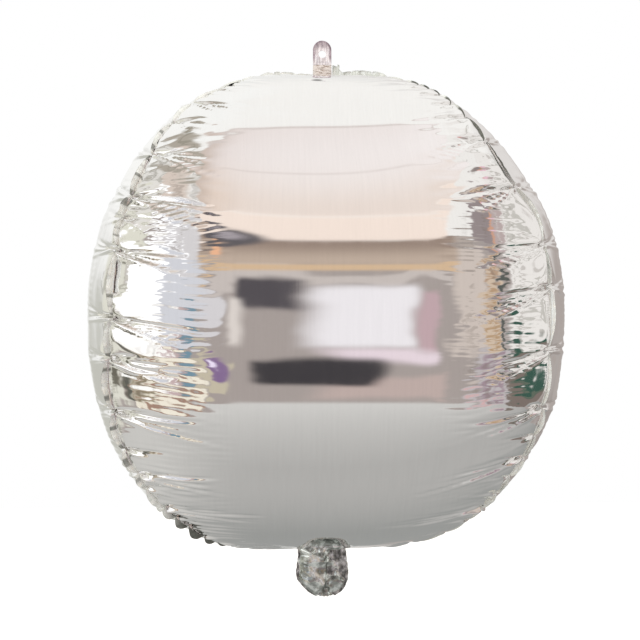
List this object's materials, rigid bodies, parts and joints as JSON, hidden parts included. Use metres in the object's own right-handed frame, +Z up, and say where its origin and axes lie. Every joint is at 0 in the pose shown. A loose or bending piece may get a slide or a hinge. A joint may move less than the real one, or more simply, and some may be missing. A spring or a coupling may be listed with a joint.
{
  "type": "foil balloon",
  "caption": "Inflated silver foil orb balloon of sealed film panels, with a hang tab at the top and an open inflation tail at the bottom.",
  "frame": {"origin": "centre of the envelope on its vertical axis, at its widest level", "axes": "+Z up along the axis from the tail to the hang tab, -Y towards the front panel, +X to the right seen from the front"},
  "size_m": [0.55, 0.55, 0.7225],
  "materials": {
    "mirror_foil": "metallised film, mirror bright, puckered along the seams",
    "seam_foil": "heat-sealed film edge, ruffled",
    "tail_foil": "crumpled metallised film",
    "clear_film": "thin glossy film, slightly pink grey and translucent"
  },
  "bodies": {
    "envelope": {"gore_front": "mirror_foil", "gore_right": "mirror_foil", "gore_back": "mirror_foil", "gore_left": "mirror_foil", "seam_front_right": "seam_foil", "seam_back_right": "seam_foil", "seam_back_left": "seam_foil", "seam_front_left": "seam_foil", "top_gather": "clear_film", "tail_neck": "tail_foil"},
    "tab": {"hang_tab": "clear_film"},
    "tail": {"tail_front_ply": "tail_foil", "tail_back_ply": "tail_foil"}
  },
  "joints": [
    {"name": "tab_fold", "type": "hinge", "parent": "envelope", "child": "tab", "pos_m": [0, 0, 0.3227], "axis": [1, 0, 0], "range_deg": [-80, 80], "stiffness_Nm_per_rad": 0.0005},
    {"name": "tail_fold", "type": "hinge", "parent": "envelope", "child": "tail", "pos_m": [0, 0, -0.303], "axis": [1, 0, 0], "range_deg": [-70, 70]}
  ]
}
